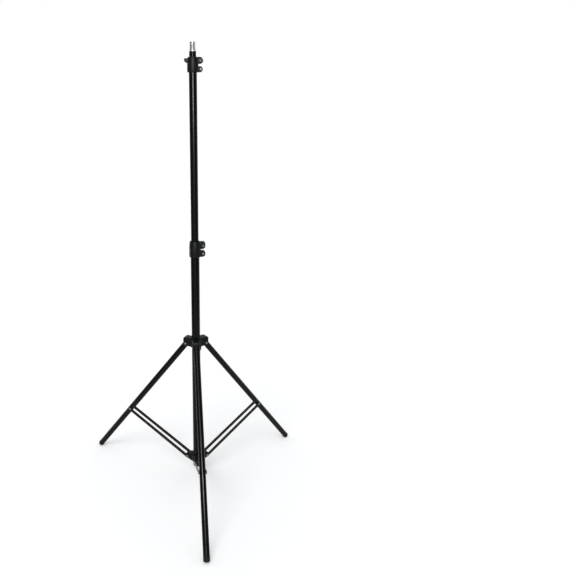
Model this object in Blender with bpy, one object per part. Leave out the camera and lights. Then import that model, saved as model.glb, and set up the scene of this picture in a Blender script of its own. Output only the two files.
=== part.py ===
"""A folding light stand: a three-section mast on a tripod base, modelled piece by piece.

The stand rests on the plane z = 0, with one leg towards -Y, and its origin lies under the middle of
its bounding box. Three legs at 120 degrees reach further forward than back, so the mast stands behind
the origin, at y = MAST_Y. All lengths are in metres.
"""

import math

import bmesh
import bpy

MM = 0.001

# Mast tubes: outer and bore radius, and the length of each section
BASE_R, BASE_BORE_R = 13 * MM, 12 * MM
MID_R, MID_BORE_R, MID_LENGTH = 11.0 * MM, 10.0 * MM, 690 * MM
TOP_R, TOP_BORE_R, TOP_LENGTH = 9.5 * MM, 8.4 * MM, 680 * MM

# Heights of the mast's parts above the floor
MAST_BOTTOM = 34 * MM
BASE_CLAMP_Z = 741.5 * MM
MID_CLAMP_Z = 1264.5 * MM
TOP_STUB = 14 * MM
SPIGOT_HEIGHT = 25 * MM

# The two riser clamps. Heights are above the clamp's lower edge: where its bore steps in, its ears and bolts
SLIT = 2 * MM
MID_CLAMP = {
    "radius": 15.5 * MM, "height": 40.5 * MM, "step": 19.5 * MM,
    "ear_reach": 27.2 * MM, "ear_corner": 7.6 * MM, "ear_thickness": 5.5 * MM,
    "lower_ear": (0.3 * MM, 16.2 * MM), "upper_ear": (22.2 * MM, 40.3 * MM),
    "bolt_x": 21.8 * MM, "lower_bolt": 8 * MM, "upper_bolt": 31.2 * MM,
}
BASE_CLAMP = {
    "radius": 17.2 * MM, "height": 48 * MM, "step": 23 * MM,
    "ear_reach": 31 * MM, "ear_corner": 8.6 * MM, "ear_thickness": 6 * MM,
    "lower_ear": (0.8 * MM, 19.4 * MM), "upper_ear": (24.6 * MM, 46.6 * MM),
    "bolt_x": 24.5 * MM, "lower_bolt": 9.6 * MM, "upper_bolt": 35 * MM,
}

# Lever knob, drawn pointing to -X
LEVER_REACH = 45 * MM
LEVER_TOP = 6.6 * MM
LEVER_BOTTOM = -6.6 * MM
LEVER_HUB_R = 7.5 * MM
LEVER_BLADE = 6.5 * MM
LEVER_CLEARANCE = 1.8 * MM
BASE_LEVER_TURN = math.radians(-30)
MID_LEVER_TURN = math.radians(2.5)

# Tripod: leg and brace pivots lie on circles of these radii
LEG_AZIMUTHS = {"front": -90.0, "right": 30.0, "left": 150.0}
PIVOT_RADIUS = 31.5 * MM
COLLAR_PIVOT_Z = 461.9 * MM
HUB_PIVOT_Z = 64 * MM
LEG_SPREAD = math.radians(37.8)
LEG_R, LEG_BORE_R = 9.2 * MM, 8.2 * MM
LEG_LENGTH = 580.7 * MM
LEG_TOP_END = 3.5 * MM
LEG_RIVET_AT = 355 * MM
FOOT_R = 9.3 * MM
FOOT_HEAD = 14 * MM
FOOT_CORNER = 5 * MM

# Leg collar
COLLAR_BORE_R = 13.4 * MM
COLLAR_BARREL_R = 17.3 * MM
COLLAR_TOP = 20 * MM
COLLAR_BOTTOM = 7.4 * MM
LOBE_REACH = 39 * MM
LOBE_HALF = 12.7 * MM
FORK_HALF = 9.8 * MM
POCKET_R = 10.6 * MM
BOSS_R = 8.5 * MM
BOSS_REACH = 27 * MM
BOSS_RISE = 6.5 * MM

# Lower hub
HUB_BORE_R = 13.3 * MM
HUB_BARREL_R = 16.8 * MM
HUB_LOW, HUB_HIGH = 49.5 * MM, 76 * MM
LUG_HALF = 10.7 * MM
LUG_END_R = 8.2 * MM

# Brace strips, which lie closer together at the leg than at the hub
STRIP_WIDTH = 11.3 * MM
STRIP_THICKNESS = 1.6 * MM
STRIP_OFFSET_HUB = 11 * MM
STRIP_OFFSET_LEG = 9.6 * MM

# Rivets and screws
RIVET_R = 2.4 * MM
RIVET_HOLE_R = 2.75 * MM
RIVET_HEAD_R = 3.4 * MM
RIVET_HEAD = 1.3 * MM
BOLT_R = 2.5 * MM
BOLT_HOLE_R = 2.8 * MM

# Running gap between pieces that touch on the real stand
GAP = 0.3 * MM

# How far the feet reach in front of the mast and behind it, and so how far it stands behind the middle
FOOT_CENTRE = PIVOT_RADIUS + (LEG_LENGTH - FOOT_CORNER) * math.sin(LEG_SPREAD)
FRONT_REACH = FOOT_CENTRE + (FOOT_R - FOOT_CORNER) * math.cos(LEG_SPREAD) + FOOT_CORNER
FOOT_FLARE = math.sqrt(1 - math.sin(LEG_SPREAD) ** 2 / 4)
BACK_REACH = FOOT_CENTRE / 2 + (FOOT_R - FOOT_CORNER) * FOOT_FLARE + FOOT_CORNER
MAST_Y = (FRONT_REACH - BACK_REACH) / 2

# Number of flat sides on a round piece
MAST_SIDES = 24
LEG_SIDES = 20
SCREW_SIDES = 10

SHARP = math.radians(38)


# Finishes

def finish(name, colour, roughness, metallic=0.0):
    """A plain Principled material."""
    made = bpy.data.materials.new(name)
    made.use_nodes = True
    shader = made.node_tree.nodes["Principled BSDF"]
    shader.inputs["Base Color"].default_value = (*colour, 1)
    shader.inputs["Roughness"].default_value = roughness
    shader.inputs["Metallic"].default_value = metallic
    made.diffuse_color = (*colour, 1)
    return made


# Building blocks

def empty(name, parent=None, spot=(0, 0, 0), turn=(0, 0, 0)):
    """An axis that pieces hang on."""
    made = bpy.data.objects.new(name, None)
    made.empty_display_size = 0.02
    made.parent = parent
    made.location = spot
    made.rotation_euler = turn
    bpy.context.collection.objects.link(made)
    return made


def piece(name, mesh, look, parent, spot=(0, 0, 0), turn=(0, 0, 0)):
    """An object made of the edited mesh, shaded smooth except at its edges."""
    bmesh.ops.recalc_face_normals(mesh, faces=mesh.faces)
    data = bpy.data.meshes.new(name)
    mesh.to_mesh(data)
    mesh.free()
    data.materials.append(look)
    data.shade_smooth()
    data.set_sharp_from_angle(angle=SHARP)
    made = bpy.data.objects.new(name, data)
    made.parent = parent
    made.location = spot
    made.rotation_euler = turn
    bpy.context.collection.objects.link(made)
    return made


def arc(centre, radius, start, end, steps):
    """Points along an arc, from one angle in degrees to another."""
    angles = [math.radians(start + (end - start) * i / steps) for i in range(steps + 1)]
    return [(centre[0] + radius * math.cos(a), centre[1] + radius * math.sin(a)) for a in angles]


def turned(name, profile, look, parent, sides, ring=False, **place):
    """Spins (radius, height) points about the local Z axis. A ring's profile closes on itself."""
    mesh = bmesh.new()
    verts = [mesh.verts.new((r, 0, z)) for r, z in profile]
    pairs = list(zip(verts, verts[1:]))
    if ring:
        pairs.append((verts[-1], verts[0]))
    edges = [mesh.edges.new(pair) for pair in pairs]
    bmesh.ops.spin(
        mesh, geom=verts + edges, cent=(0, 0, 0), axis=(0, 0, 1), angle=math.tau, steps=sides, use_merge=True
    )
    bmesh.ops.remove_doubles(mesh, verts=mesh.verts, dist=1e-7)
    return piece(name, mesh, look, parent, **place)


def turned_across(name, profile, look, parent, sides, ring=False, spot=(0, 0, 0)):
    """A turned piece whose axis runs along the local Y axis, as a bolt's or a rivet's does."""
    return turned(name, profile, look, parent, sides, ring, spot=spot, turn=(-math.pi / 2, 0, 0))


def prism(name, outline, low, high, look, parent, **place):
    """An outline of (x, z) points, extruded along Y from low to high."""
    mesh = bmesh.new()
    face = mesh.faces.new([mesh.verts.new((x, low, z)) for x, z in outline])
    grown = bmesh.ops.extrude_face_region(mesh, geom=[face])["geom"]
    moved = [v for v in grown if isinstance(v, bmesh.types.BMVert)]
    bmesh.ops.translate(mesh, verts=moved, vec=(0, high - low, 0))
    return piece(name, mesh, look, parent, **place)


def rod(radius, low, high):
    """The profile of a plain round bar."""
    return [(0, low), (radius, low), (radius, high), (0, high)]


def sleeve(outer, inner, low, high):
    """The ring profile of a plain tube."""
    return [(inner, low), (outer, low), (outer, high), (inner, high)]


def rivet_profile(reach):
    """Half of a rivet, from the middle of its shank to its domed head beyond reach."""
    crown = [(RIVET_HEAD_R * 0.62, reach + RIVET_HEAD), (0, reach + RIVET_HEAD * 1.12)]
    return [(RIVET_R, reach), (RIVET_HEAD_R, reach), (RIVET_HEAD_R, reach + RIVET_HEAD * 0.45), *crown]


def combine(target, tool, operation):
    """Joins a helper to a piece, or cuts it away, and hides the helper."""
    step = target.modifiers.new(operation.lower(), "BOOLEAN")
    step.operation = operation
    step.object = tool
    tool.hide_render = True
    tool.display_type = "WIRE"


def soften(target, width, segments=2):
    """Rounds the edges of a helper before it is joined to a piece."""
    step = target.modifiers.new("bevel", "BEVEL")
    step.width = width
    step.segments = segments
    step.limit_method = "ANGLE"
    step.angle_limit = math.radians(40)


# Mast

def make_base(look, parent):
    """The widest tube, and the plug that closes its lower end."""
    low = MAST_BOTTOM + 2 * MM
    high = BASE_CLAMP_Z + BASE_CLAMP["step"] - GAP
    wall = sleeve(BASE_R, BASE_BORE_R, low + GAP, high)
    turned("base_tube", wall, look["enamel"], parent, MAST_SIDES, ring=True)
    stem = BASE_BORE_R - GAP
    profile = [
        (0, MAST_BOTTOM), (BASE_R - 1 * MM, MAST_BOTTOM), (BASE_R, MAST_BOTTOM + 0.8 * MM), (BASE_R, low),
        (stem, low), (stem, low + 16 * MM), (stem - 1 * MM, low + 17 * MM), (0, low + 17 * MM),
    ]
    turned("base_end_plug", profile, look["moulding"], parent, MAST_SIDES)


def make_bush(name, flange_r, bore_r, end, look, parent):
    """The guide bush in the lower end of a sliding tube: a flange under the tube and a sleeve inside it."""
    stem = bore_r - GAP
    inner = stem - 1.6 * MM
    low = end - 3 * MM
    profile = [
        (inner, low), (flange_r - 0.5 * MM, low), (flange_r, low + 0.5 * MM), (flange_r, end - GAP),
        (stem, end - GAP), (stem, end + 18 * MM), (inner, end + 18 * MM),
    ]
    turned(name, profile, look["nylon"], parent, MAST_SIDES, ring=True)


def make_mid(look, parent):
    """The middle tube, which slides in the base tube."""
    high = MID_CLAMP_Z + MID_CLAMP["step"] - GAP
    low = high - MID_LENGTH
    turned("mid_tube", sleeve(MID_R, MID_BORE_R, low, high), look["enamel"], parent, MAST_SIDES, ring=True)
    make_bush("mid_tube_bush", BASE_BORE_R - 0.2 * MM, MID_BORE_R, low, look, parent)


def make_top(look, parent):
    """The top tube, which slides in the middle tube, and the spigot that a lamp is fastened to."""
    high = MID_CLAMP_Z + MID_CLAMP["height"] + TOP_STUB
    low = high - TOP_LENGTH
    turned("top_tube", sleeve(TOP_R, TOP_BORE_R, low, high), look["enamel"], parent, MAST_SIDES, ring=True)
    make_bush("top_tube_bush", MID_BORE_R - 0.25 * MM, TOP_BORE_R, low, look, parent)
    stem = TOP_BORE_R - GAP
    rim = high + GAP
    tip = high + SPIGOT_HEIGHT
    foot_r, waist_r, lip_r = 7.9 * MM, 6.9 * MM, 8.1 * MM
    profile = [
        (0, high - 24 * MM), (stem, high - 24 * MM), (stem, rim), (TOP_R + 0.7 * MM, rim),
        (TOP_R + 0.7 * MM, rim + 1 * MM), (foot_r, rim + 1.3 * MM), (foot_r - 0.1 * MM, rim + 5 * MM),
        (waist_r + 0.3 * MM, rim + 12 * MM), (waist_r, tip - 5 * MM), (waist_r + 0.1 * MM, tip - 3.4 * MM),
        (lip_r - 0.3 * MM, tip - 1.5 * MM), (lip_r, tip - 1.1 * MM), (lip_r, tip - 0.3 * MM),
        (lip_r - 0.3 * MM, tip), (0, tip),
    ]
    turned("spigot", profile, look["steel"], parent, MAST_SIDES)


# Riser clamps

def ear_face(sizes):
    """How far the ears' outer faces stand from the plane of the slit."""
    return SLIT / 2 + sizes["ear_thickness"]


def ear_outline(low, high, sizes):
    """One ear seen from the side: square where it grows out of the barrel, round at its end."""
    root, corner = sizes["radius"] * 0.8, sizes["ear_corner"]
    x = sizes["ear_reach"] - corner
    lower_corner = arc((x, low + corner), corner, -90, 0, 4)
    upper_corner = arc((x, high - corner), corner, 0, 90, 4)
    return [(root, low), *lower_corner, *upper_corner, (root, high)]


def make_clamp(name, base_z, sizes, tube_r, inner_tube_r, look, parent):
    """A split barrel that is screwed to one tube and grips the tube inside it, with its nuts and screw."""
    seat = empty(name + "_seat", parent, (0, 0, base_z))
    height = sizes["height"]
    r = sizes["radius"]
    shape = [
        (0, 0), (r - 2.2 * MM, 0), (r - 0.6 * MM, 0.7 * MM), (r, 2.2 * MM), (r, height * 0.58),
        (r * 0.975, height * 0.72), (r * 0.935, height * 0.86), (r * 0.90, height * 0.955),
        (r * 0.80, height), (0, height),
    ]
    barrel = turned(name, shape, look["moulding"], seat, MAST_SIDES)
    face = ear_face(sizes)
    for level in ("lower", "upper"):
        outline = ear_outline(*sizes[level + "_ear"], sizes)
        ears = prism(f"{name}_{level}_ears", outline, -face, face, look["moulding"], seat)
        combine(barrel, ears, "UNION")
    recess = face - 2.6 * MM
    for level in ("lower", "upper"):
        spot = (sizes["bolt_x"], 0, sizes[level + "_bolt"])
        hole = [
            (0, -face - 1 * MM), (5 * MM, -face - 1 * MM), (5 * MM, -recess), (BOLT_HOLE_R, -recess),
            (BOLT_HOLE_R, face + 1 * MM), (0, face + 1 * MM),
        ]
        tool = turned_across(f"{name}_{level}_hole", hole, look["moulding"], seat, 16, spot=spot)
        combine(barrel, tool, "DIFFERENCE")
    step = sizes["step"]
    bores = [
        (tube_r + GAP, -1 * MM), (tube_r + GAP, step), (inner_tube_r + GAP, step),
        (inner_tube_r + GAP, height + 1 * MM),
    ]
    bore_shape = [(0, -1 * MM), *bores, (0, height + 1 * MM)]
    bore = turned(name + "_bore", bore_shape, look["moulding"], seat, MAST_SIDES)
    combine(barrel, bore, "DIFFERENCE")
    near, far = inner_tube_r * 0.5, r * 2.2
    slit_outline = [(near, -1 * MM), (far, -1 * MM), (far, height + 1 * MM), (near, height + 1 * MM)]
    slit = prism(name + "_slit", slit_outline, -SLIT / 2, SLIT / 2, look["moulding"], seat)
    combine(barrel, slit, "DIFFERENCE")
    high_spot = (sizes["bolt_x"], 0, sizes["upper_bolt"])
    make_nut(name + "_nut", 4.6 * MM, -recess - GAP - 3.2 * MM, 3.2 * MM, look["dull_steel"], seat, high_spot)
    low_spot = (sizes["bolt_x"], 0, sizes["lower_bolt"])
    make_nut(name + "_screw_nut", 4.4 * MM, face + GAP, 3 * MM, look["steel"], seat, low_spot)
    under_head = -recess - GAP
    screw_r = BOLT_R - 0.2 * MM
    screw = [
        (0, under_head - 2.6 * MM), (2.2 * MM, under_head - 2.4 * MM), (3.9 * MM, under_head - 1.2 * MM),
        (3.9 * MM, under_head), (screw_r, under_head), (screw_r, face + 4.6 * MM), (0, face + 4.6 * MM),
    ]
    turned_across(name + "_screw", screw, look["steel"], seat, SCREW_SIDES, spot=low_spot)
    return seat


def make_nut(name, corner_r, low, thickness, look, parent, spot):
    """A hexagon nut on an axis along Y."""
    nut = turned_across(name, rod(corner_r, low, low + thickness), look, parent, 6, spot=spot)
    through = rod(BOLT_HOLE_R, low - 1 * MM, low + thickness + 1 * MM)
    combine(nut, turned_across(name + "_bore", through, look, parent, SCREW_SIDES, spot=spot), "DIFFERENCE")


def make_lever(name, seat, sizes, turn, look):
    """The single-wing lever knob and the bolt moulded into it. It turns about the bolt, along Y."""
    axis = empty(name + "_axis", seat, (sizes["bolt_x"], 0, sizes["upper_bolt"]), (0, turn, 0))
    face = ear_face(sizes)
    hub_low = face + GAP
    blade_low = sizes["radius"] + LEVER_CLEARANCE
    blade_high = blade_low + LEVER_BLADE
    hub = [
        (0, hub_low), (LEVER_HUB_R - 1 * MM, hub_low), (LEVER_HUB_R, hub_low + 1 * MM),
        (LEVER_HUB_R, blade_high - 1 * MM), (LEVER_HUB_R - 1.2 * MM, blade_high + 0.2 * MM),
        (0, blade_high + 0.2 * MM),
    ]
    knob = turned_across(name, hub, look["moulding"], axis, 20)
    tip = LEVER_REACH
    outline = [
        (0, LEVER_BOTTOM), (0, LEVER_TOP), (-tip + 2.6 * MM, LEVER_TOP),
        (-tip + 0.7 * MM, LEVER_TOP - 0.8 * MM), (-tip, LEVER_TOP - 2.6 * MM), (-tip + 0.5 * MM, 0.8 * MM),
        (-tip + 2 * MM, -2.2 * MM), (-tip + 6.8 * MM, -5.8 * MM), (-tip + 10 * MM, LEVER_BOTTOM),
    ]
    blade = prism(name + "_blade", outline, blade_low, blade_high, look["moulding"], axis)
    soften(blade, 1 * MM)
    combine(knob, blade, "UNION")
    socket_end = blade_high - 4 * MM
    hollow = rod(BOLT_HOLE_R, hub_low - 1 * MM, socket_end)
    socket = turned_across(name + "_socket", hollow, look["moulding"], axis, SCREW_SIDES)
    combine(knob, socket, "DIFFERENCE")
    end = -face - 0.8 * MM
    bolt = [
        (0, end), (BOLT_R - 0.6 * MM, end), (BOLT_R, end + 0.6 * MM), (BOLT_R, socket_end - GAP),
        (0, socket_end - GAP),
    ]
    turned_across(name + "_bolt", bolt, look["dull_steel"], axis, SCREW_SIDES)


# Leg collar

def make_collar(look, parent):
    """The sliding collar. Its three forks hold the legs, and a boss at the back takes the locking knob."""
    body = rod(COLLAR_BARREL_R, -COLLAR_BOTTOM - 0.6 * MM, COLLAR_TOP - 1.5 * MM)
    barrel = turned("leg_collar", body, look["moulding"], parent, MAST_SIDES)
    knob_spot = (0, 0, BOSS_RISE)
    boss = turned_across(
        "collar_boss", rod(BOSS_R, 10 * MM, BOSS_REACH), look["moulding"], parent, 20, spot=knob_spot
    )
    combine(barrel, boss, "UNION")
    pivot = (PIVOT_RADIUS, 0)
    round_top = arc((LOBE_REACH - 3.5 * MM, COLLAR_TOP - 3.5 * MM), 3.5 * MM, 0, 90, 3)
    cheek_end = arc(pivot, LOBE_REACH - PIVOT_RADIUS, -95, 0, 5)
    lobe_outline = [(10 * MM, -COLLAR_BOTTOM), *cheek_end, *round_top, (10 * MM, COLLAR_TOP)]
    rest = math.degrees(LEG_SPREAD)
    mouth = 34 * MM
    upper = arc(pivot, POCKET_R, 180, rest, 10)
    out = (upper[-1][0] + mouth * math.sin(LEG_SPREAD), upper[-1][1] - mouth * math.cos(LEG_SPREAD))
    pocket_outline = [(PIVOT_RADIUS - POCKET_R, out[1]), *upper, out]
    for side, azimuth in LEG_AZIMUTHS.items():
        turn = (0, 0, math.radians(azimuth))
        lobe = prism(f"{side}_lobe", lobe_outline, -LOBE_HALF, LOBE_HALF, look["moulding"], parent, turn=turn)
        soften(lobe, 2 * MM)
        combine(barrel, lobe, "UNION")
    bore = turned("collar_bore", rod(COLLAR_BORE_R, -20 * MM, 40 * MM), look["moulding"], parent, MAST_SIDES)
    combine(barrel, bore, "DIFFERENCE")
    for side, azimuth in LEG_AZIMUTHS.items():
        turn = (0, 0, math.radians(azimuth))
        pocket = prism(
            f"{side}_pocket", pocket_outline, -FORK_HALF, FORK_HALF, look["moulding"], parent, turn=turn
        )
        combine(barrel, pocket, "DIFFERENCE")
        plane = empty(f"{side}_collar_plane", parent, turn=turn)
        pivot_spot = (PIVOT_RADIUS, 0, 0)
        drill_rivet_hole(barrel, f"{side}_pivot_hole", plane, pivot_spot, look)
        make_rivet(f"{side}_pivot_rivet", LOBE_HALF + GAP, look, plane, pivot_spot)
    tunnel = turned_across(
        "knob_tunnel", rod(4.7 * MM, 5 * MM, 40 * MM), look["moulding"], parent, 16, spot=knob_spot
    )
    combine(barrel, tunnel, "DIFFERENCE")


def drill_rivet_hole(target, name, parent, spot, look):
    """A hole for a rivet, along Y, through a piece."""
    drill = rod(RIVET_HOLE_R, -20 * MM, 20 * MM)
    hole = turned_across(name, drill, look["moulding"], parent, SCREW_SIDES, spot=spot)
    combine(target, hole, "DIFFERENCE")


def make_rivet(name, reach, look, parent, spot):
    """A rivet right through a joint, with a domed head at each end."""
    half = rivet_profile(reach)
    profile = [(r, -y) for r, y in reversed(half)] + half
    return turned_across(name, profile, look["steel"], parent, SCREW_SIDES, spot=spot)


def make_collar_lock(look, collar, knob_axis):
    """The knob at the back of the collar: its screw runs in a brass insert and presses a pad on the tube."""
    spot = (0, 0, BOSS_RISE)
    pad = [(0, COLLAR_BORE_R), (4.3 * MM, COLLAR_BORE_R), (4.3 * MM, 15.8 * MM), (0, 15.8 * MM)]
    turned_across("collar_brake_pad", pad, look["nylon"], collar, 16, spot=spot)
    insert = sleeve(4.4 * MM, 3.1 * MM, 18 * MM, BOSS_REACH - GAP)
    turned_across("collar_insert", insert, look["brass"], collar, 16, ring=True, spot=spot)
    hub_low, hub_high = BOSS_REACH + GAP * 3, BOSS_REACH + 15 * MM
    hub = [
        (0, hub_low), (5.5 * MM, hub_low), (6 * MM, hub_low + 0.5 * MM), (7 * MM, hub_high - 1 * MM),
        (6 * MM, hub_high), (0, hub_high),
    ]
    knob = turned_across("collar_knob", hub, look["moulding"], knob_axis, 20)
    centre = 13 * MM
    outline = arc((0, centre), 3 * MM, 0, 180, 4) + arc((0, -centre), 3 * MM, 180, 360, 4)
    wing = prism(
        "collar_knob_wings", outline, BOSS_REACH + 6 * MM, hub_high + 2 * MM, look["moulding"], knob_axis
    )
    soften(wing, 1 * MM)
    combine(knob, wing, "UNION")
    socket_end = hub_high - 4 * MM
    hollow = rod(3.1 * MM, 20 * MM, socket_end)
    socket = turned_across("collar_knob_socket", hollow, look["moulding"], knob_axis, SCREW_SIDES)
    combine(knob, socket, "DIFFERENCE")
    screw = [
        (0, 16.2 * MM), (2 * MM, 16.2 * MM), (2.8 * MM, 17 * MM), (2.8 * MM, socket_end - GAP),
        (0, socket_end - GAP),
    ]
    turned_across("collar_knob_screw", screw, look["dull_steel"], knob_axis, SCREW_SIDES)


# Lower hub

def make_hub(look, parent):
    """The fixed hub at the foot of the mast, with a lug for each brace."""
    barrel = turned("lower_hub", rod(HUB_BARREL_R, HUB_LOW, HUB_HIGH), look["moulding"], parent, MAST_SIDES)
    end = arc((PIVOT_RADIUS, HUB_PIVOT_Z), LUG_END_R, -100, 95, 7)
    low, high = HUB_LOW + 0.5 * MM, HUB_HIGH - 0.6 * MM
    outline = [(10 * MM, low), (HUB_BARREL_R, low), *end, (HUB_BARREL_R, high), (10 * MM, high)]
    for side, azimuth in LEG_AZIMUTHS.items():
        turn = (0, 0, math.radians(azimuth))
        lug = prism(f"{side}_lug", outline, -LUG_HALF, LUG_HALF, look["moulding"], parent, turn=turn)
        combine(barrel, lug, "UNION")
    bore = turned("hub_bore", rod(HUB_BORE_R, 20 * MM, 100 * MM), look["moulding"], parent, MAST_SIDES)
    combine(barrel, bore, "DIFFERENCE")
    for side, azimuth in LEG_AZIMUTHS.items():
        plane = empty(f"{side}_hub_plane", parent, turn=(0, 0, math.radians(azimuth)))
        drill_rivet_hole(barrel, f"{side}_lug_hole", plane, (PIVOT_RADIUS, 0, HUB_PIVOT_Z), look)


# Legs and braces

def make_leg(side, look, leg):
    """One leg, hanging down the local Z axis from its pivot: tube, top plug, foot and rivet pin."""
    tube_end = LEG_LENGTH - FOOT_HEAD
    wall = sleeve(LEG_R, LEG_BORE_R, -tube_end, LEG_TOP_END)
    tube = turned(f"{side}_leg_tube", wall, look["enamel"], leg, LEG_SIDES, ring=True)
    stem = LEG_BORE_R - GAP
    head = LEG_TOP_END + GAP
    plug_shape = [
        (0, -14 * MM), (stem, -14 * MM), (stem, head), (LEG_R, head), (LEG_R * 0.9, head + 1.8 * MM),
        (LEG_R * 0.62, head + 4.2 * MM), (0, head + 5.5 * MM),
    ]
    plug = turned(f"{side}_leg_top_plug", plug_shape, look["moulding"], leg, LEG_SIDES)
    for target, at in ((tube, 0), (tube, LEG_RIVET_AT), (plug, 0)):
        drill_rivet_hole(target, f"{target.name}_hole_{round(at / MM)}", leg, (0, 0, -at), look)
    pin = rod(RIVET_R, -LEG_R + GAP / 3, LEG_R - GAP / 3)
    rivet_spot = (0, 0, -LEG_RIVET_AT)
    turned_across(f"{side}_leg_rivet_pin", pin, look["steel"], leg, SCREW_SIDES, spot=rivet_spot)
    tip = -LEG_LENGTH
    corner = arc((FOOT_R - FOOT_CORNER, tip + FOOT_CORNER), FOOT_CORNER, -90, 0, 6)
    top = -tube_end - GAP
    foot_shape = [
        (0, tip), *corner, (FOOT_R, top), (stem, top), (stem, top + 15 * MM),
        (stem - 1 * MM, top + 16 * MM), (0, top + 16 * MM),
    ]
    return turned(f"{side}_foot", foot_shape, look["rubber"], leg, LEG_SIDES)


def make_brace(side, look, brace, length):
    """One brace, standing up the local Z axis from the hub's pivot: two strips and their rivets."""
    half = STRIP_WIDTH / 2
    lean = math.atan2(STRIP_OFFSET_HUB - STRIP_OFFSET_LEG, length)
    outline = arc((0, 0), half, 180, 360, 8) + arc((0, length), half, 0, 180, 8)
    for number, sign in ((1, -1), (2, 1)):
        near, far = STRIP_OFFSET_HUB * sign, (STRIP_OFFSET_HUB + STRIP_THICKNESS) * sign
        strip = prism(f"{side}_brace_strip_{number}", outline, 0, abs(far - near), look["steel_black"], brace)
        strip.location = (0, min(near, far), 0)
        strip.rotation_euler = (lean * sign, 0, 0)
        for at in (0, length):
            drill_rivet_hole(strip, f"{strip.name}_hole_{round(at / MM)}", brace, (0, 0, at), look)
        inner = STRIP_OFFSET_LEG - GAP / 3
        outer = STRIP_OFFSET_LEG + STRIP_THICKNESS + GAP
        profile = [(0, inner), (RIVET_R, inner), *rivet_profile(outer)]
        turn = (-math.pi / 2 * sign, 0, 0)
        head_name = f"{side}_leg_rivet_head_{number}"
        turned(head_name, profile, look["steel"], brace, SCREW_SIDES, spot=(0, 0, length), turn=turn)
    make_rivet(f"{side}_hub_rivet", STRIP_OFFSET_HUB + STRIP_THICKNESS + GAP, look, brace, (0, 0, 0))


def brace_frame():
    """Length of a brace between its rivets, and its lean from the vertical, both from the leg's place."""
    out = PIVOT_RADIUS + LEG_RIVET_AT * math.sin(LEG_SPREAD) - PIVOT_RADIUS
    rise = COLLAR_PIVOT_Z - LEG_RIVET_AT * math.cos(LEG_SPREAD) - HUB_PIVOT_Z
    return math.hypot(out, rise), math.atan2(out, rise)


def make_tripod(look, mast, collar):
    """The three legs on the collar and the three braces on the hub."""
    length, lean = brace_frame()
    below_floor = [(-0.6, -0.05), (0.6, -0.05), (0.6, 0), (-0.6, 0)]
    floor = prism("floor_cutter", below_floor, -0.6, 0.6, look["rubber"], mast)
    for side, azimuth in LEG_AZIMUTHS.items():
        turn = math.radians(azimuth)
        e = (math.cos(turn), math.sin(turn))
        leg = empty(f"{side}_leg_axis", collar, (PIVOT_RADIUS * e[0], PIVOT_RADIUS * e[1], 0))
        leg.rotation_euler = (0, -LEG_SPREAD, turn)
        foot = make_leg(side, look, leg)
        combine(foot, floor, "DIFFERENCE")
        brace = empty(f"{side}_brace_axis", mast, (PIVOT_RADIUS * e[0], PIVOT_RADIUS * e[1], HUB_PIVOT_Z))
        brace.rotation_euler = (0, lean, turn)
        make_brace(side, look, brace, length)


def clear_scene():
    for old in list(bpy.data.objects):
        bpy.data.objects.remove(old)


def main():
    clear_scene()
    look = {
        "enamel": finish("black_enamel", (0.012, 0.012, 0.015), 0.22, 0.3),
        "moulding": finish("charcoal_moulding", (0.022, 0.024, 0.027), 0.45),
        "rubber": finish("black_rubber", (0.016, 0.016, 0.016), 0.8),
        "nylon": finish("grey_nylon", (0.2, 0.2, 0.21), 0.5),
        "steel": finish("bright_steel", (0.62, 0.62, 0.64), 0.22, 1.0),
        "dull_steel": finish("dull_steel", (0.28, 0.28, 0.3), 0.4, 1.0),
        "steel_black": finish("black_strip", (0.014, 0.014, 0.016), 0.3, 0.3),
        "brass": finish("brass", (0.6, 0.42, 0.16), 0.35, 1.0),
    }
    mast = empty("mast_axis", None, (0, MAST_Y, 0))
    mid = empty("mid_section", mast)
    top = empty("top_section", mid)
    collar = empty("collar_axis", mast, (0, 0, COLLAR_PIVOT_Z))
    knob_axis = empty("collar_knob_axis", collar, (0, 0, BOSS_RISE))
    make_base(look, mast)
    make_hub(look, mast)
    make_mid(look, mid)
    make_top(look, top)
    seat = make_clamp("base_clamp", BASE_CLAMP_Z, BASE_CLAMP, BASE_R, MID_R, look, mast)
    make_lever("base_lever", seat, BASE_CLAMP, BASE_LEVER_TURN, look)
    seat = make_clamp("mid_clamp", MID_CLAMP_Z, MID_CLAMP, MID_R, TOP_R, look, mid)
    make_lever("mid_lever", seat, MID_CLAMP, MID_LEVER_TURN, look)
    make_collar(look, collar)
    make_collar_lock(look, collar, knob_axis)
    make_tripod(look, mast, collar)


main()
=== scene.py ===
# %% [markdown]
# A folding light stand
#
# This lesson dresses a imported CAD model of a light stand: three black tubes that slide in each other, two
# moulded clamps with lever knobs, a sliding collar with three legs, three braces of flat strip and a hub.
# The CAD model gives every size and every joint. Here each visible part is modelled again with finer
# shapes and a finish of its own, and is handed to the body that it moves with.

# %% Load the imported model
import contextlib
import math

import bmesh
import bpy
from mathutils import Matrix, Vector


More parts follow.
